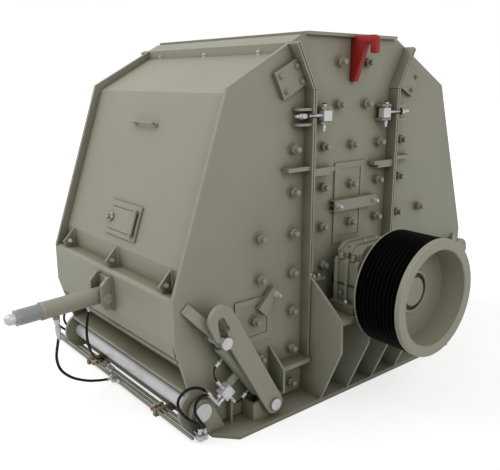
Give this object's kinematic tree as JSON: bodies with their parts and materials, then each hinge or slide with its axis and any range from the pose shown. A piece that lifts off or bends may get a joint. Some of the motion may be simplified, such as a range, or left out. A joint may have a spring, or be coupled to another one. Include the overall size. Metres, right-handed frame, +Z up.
{
  "type": "impact crusher",
  "caption": "Impact crusher: fixed centre section over a rotor with a grooved pulley, between two hinged housings that cylinders open and hook arms hold.",
  "frame": {"origin": "centre of the overall box at the underside of the base plate", "axes": "+Z up, +Y along the machine from the rear housing to the front housing, +X along the rotor shaft towards the pulley"},
  "size_m": [2.784, 4.1858, 2.4],
  "materials": {
    "body_paint": "satin khaki-grey machine paint",
    "hook_red": "gloss red paint",
    "bright_steel": "bare machined steel",
    "thread_steel": "dull threaded steel",
    "rotor_steel": "worn wear-resistant casting",
    "hose_rubber": "matt black hose"
  },
  "bodies": {
    "base": {"base_frame": "body_paint", "near_centre_plate": "body_paint", "far_centre_plate": "body_paint", "feed_flange": "body_paint", "front_roof_cap": "body_paint", "rear_roof_cap": "body_paint", "near_pedestal": "body_paint", "far_pedestal": "body_paint", "near_bearing": "body_paint", "far_bearing": "body_paint", "near_lifting_hook": "hook_red", "far_lifting_hook": "hook_red", "rear_hinge_shaft": "bright_steel", "front_hinge_shaft": "bright_steel", "supply_pipes": "body_paint", "adjuster_end_hose": "hose_rubber", "adjuster_beam_hose": "hose_rubber", "cylinder_upper_hose": "hose_rubber", "cylinder_lower_hose": "hose_rubber", "far_upper_hose": "hose_rubber", "far_lower_hose": "hose_rubber"},
    "rotor_group": {"rotor_shaft": "bright_steel", "rotor": "rotor_steel", "drive_pulley": "body_paint"},
    "rear_housing": {"rear_near_side": "body_paint", "rear_far_side": "body_paint", "rear_cover": "body_paint", "rear_beam": "body_paint", "rear_skirt_plate": "body_paint", "rear_apron": "rotor_steel", "rear_adjuster": "body_paint"},
    "rear_door": {"rear_inspection_door": "body_paint"},
    "rear_spindle": {"rear_adjuster_spindle": "thread_steel"},
    "rear_near_cylinder": {"rear_near_barrel": "body_paint", "valve_block": "bright_steel", "valve_head_hose": "hose_rubber", "valve_foot_hose": "hose_rubber"},
    "rear_near_piston": {"rear_near_rod": "bright_steel"},
    "rear_near_latch": {"rear_near_hook_arm": "body_paint"},
    "rear_far_cylinder": {"rear_far_barrel": "body_paint", "far_valve_block": "bright_steel"},
    "rear_far_piston": {"rear_far_rod": "bright_steel"},
    "rear_far_latch": {"rear_far_hook_arm": "body_paint"},
    "front_housing": {"front_near_side": "body_paint", "front_far_side": "body_paint", "front_cover": "body_paint", "front_beam": "body_paint", "front_skirt_plate": "body_paint", "front_apron": "rotor_steel", "front_adjuster": "body_paint"},
    "front_door": {"front_inspection_door": "body_paint"},
    "front_spindle": {"front_adjuster_spindle": "thread_steel"},
    "front_near_cylinder": {"front_near_barrel": "body_paint"},
    "front_near_piston": {"front_near_rod": "bright_steel"},
    "front_near_latch": {"front_near_hook_arm": "body_paint"},
    "front_far_cylinder": {"front_far_barrel": "body_paint"},
    "front_far_piston": {"front_far_rod": "bright_steel"},
    "front_far_latch": {"front_far_hook_arm": "body_paint"}
  },
  "joints": [
    {"name": "rotor_spin", "type": "hinge", "parent": "base", "child": "rotor_group", "pos_m": [-0.192, 0, 0.813], "axis": [1, 0, 0], "continuous": true},
    {"name": "rear_housing_open", "type": "hinge", "parent": "base", "child": "rear_housing", "pos_m": [-0.192, -1.26, 0.18], "axis": [1, 0, 0], "range_deg": [0, 24], "deforming": ["adjuster_end_hose", "adjuster_beam_hose"]},
    {"name": "rear_door_swing", "type": "hinge", "parent": "rear_housing", "child": "rear_door", "pos_m": [-0.028, -1.2881, 1.21752], "axis": [0, 0.3221, 0.9467], "range_deg": [0, 110]},
    {"name": "rear_spindle_slide", "type": "slide", "parent": "rear_housing", "child": "rear_spindle", "axis": [0, 0.999, 0.0436], "range_m": [0, 0.12]},
    {"name": "rear_near_cylinder_swing", "type": "hinge", "parent": "base", "child": "rear_near_cylinder", "pos_m": [0.695, -0.79, 0.125], "axis": [1, 0, 0], "range_deg": [0, 12], "deforming": ["cylinder_upper_hose", "cylinder_lower_hose"]},
    {"name": "rear_near_piston_swing", "type": "hinge", "parent": "rear_housing", "child": "rear_near_piston", "pos_m": [0.695, -1.17154, 0.64487], "axis": [1, 0, 0], "range_deg": [-12, 0]},
    {"name": "rear_near_latch_swing", "type": "hinge", "parent": "base", "child": "rear_near_latch", "pos_m": [0.768, -0.79, 0.125], "axis": [1, 0, 0], "range_deg": [0, 16.2]},
    {"name": "rear_far_cylinder_swing", "type": "hinge", "parent": "base", "child": "rear_far_cylinder", "pos_m": [-1.079, -0.79, 0.125], "axis": [1, 0, 0], "range_deg": [0, 12], "deforming": ["far_upper_hose", "far_lower_hose"]},
    {"name": "rear_far_piston_swing", "type": "hinge", "parent": "rear_housing", "child": "rear_far_piston", "pos_m": [-1.079, -1.17154, 0.64487], "axis": [1, 0, 0], "range_deg": [-12, 0]},
    {"name": "rear_far_latch_swing", "type": "hinge", "parent": "base", "child": "rear_far_latch", "pos_m": [-1.152, -0.79, 0.125], "axis": [1, 0, 0], "range_deg": [0, 16.2]},
    {"name": "front_housing_open", "type": "hinge", "parent": "base", "child": "front_housing", "pos_m": [-0.192, 1.26, 0.18], "axis": [-1, 0, 0], "range_deg": [0, 24]},
    {"name": "front_door_swing", "type": "hinge", "parent": "front_housing", "child": "front_door", "pos_m": [-0.028, 1.2881, 1.21752], "axis": [0, 0.3221, -0.9467], "range_deg": [0, 110]},
    {"name": "front_spindle_slide", "type": "slide", "parent": "front_housing", "child": "front_spindle", "axis": [0, -0.999, 0.0436], "range_m": [0, 0.12]},
    {"name": "front_near_cylinder_swing", "type": "hinge", "parent": "base", "child": "front_near_cylinder", "pos_m": [0.695, 0.79, 0.125], "axis": [-1, 0, 0], "range_deg": [0, 12]},
    {"name": "front_near_piston_swing", "type": "hinge", "parent": "front_housing", "child": "front_near_piston", "pos_m": [0.695, 1.17154, 0.64487], "axis": [-1, 0, 0], "range_deg": [-12, 0]},
    {"name": "front_near_latch_swing", "type": "hinge", "parent": "base", "child": "front_near_latch", "pos_m": [0.768, 0.79, 0.125], "axis": [-1, 0, 0], "range_deg": [0, 16.2]},
    {"name": "front_far_cylinder_swing", "type": "hinge", "parent": "base", "child": "front_far_cylinder", "pos_m": [-1.079, 0.79, 0.125], "axis": [-1, 0, 0], "range_deg": [0, 12]},
    {"name": "front_far_piston_swing", "type": "hinge", "parent": "front_housing", "child": "front_far_piston", "pos_m": [-1.079, 1.17154, 0.64487], "axis": [-1, 0, 0], "range_deg": [-12, 0]},
    {"name": "front_far_latch_swing", "type": "hinge", "parent": "base", "child": "front_far_latch", "pos_m": [-1.152, 0.79, 0.125], "axis": [-1, 0, 0], "range_deg": [0, 16.2]}
  ],
  "couplings": [
    {"joint": "rear_near_cylinder_swing", "follows": "rear_housing_open", "ratio": 0.5},
    {"joint": "rear_near_piston_swing", "follows": "rear_housing_open", "ratio": -0.5},
    {"joint": "rear_near_latch_swing", "follows": "rear_housing_open", "ratio": 0.675},
    {"joint": "rear_far_cylinder_swing", "follows": "rear_housing_open", "ratio": 0.5},
    {"joint": "rear_far_piston_swing", "follows": "rear_housing_open", "ratio": -0.5},
    {"joint": "rear_far_latch_swing", "follows": "rear_housing_open", "ratio": 0.675},
    {"joint": "front_near_cylinder_swing", "follows": "front_housing_open", "ratio": 0.5},
    {"joint": "front_near_piston_swing", "follows": "front_housing_open", "ratio": -0.5},
    {"joint": "front_near_latch_swing", "follows": "front_housing_open", "ratio": 0.675},
    {"joint": "front_far_cylinder_swing", "follows": "front_housing_open", "ratio": 0.5},
    {"joint": "front_far_piston_swing", "follows": "front_housing_open", "ratio": -0.5},
    {"joint": "front_far_latch_swing", "follows": "front_housing_open", "ratio": 0.675}
  ]
}
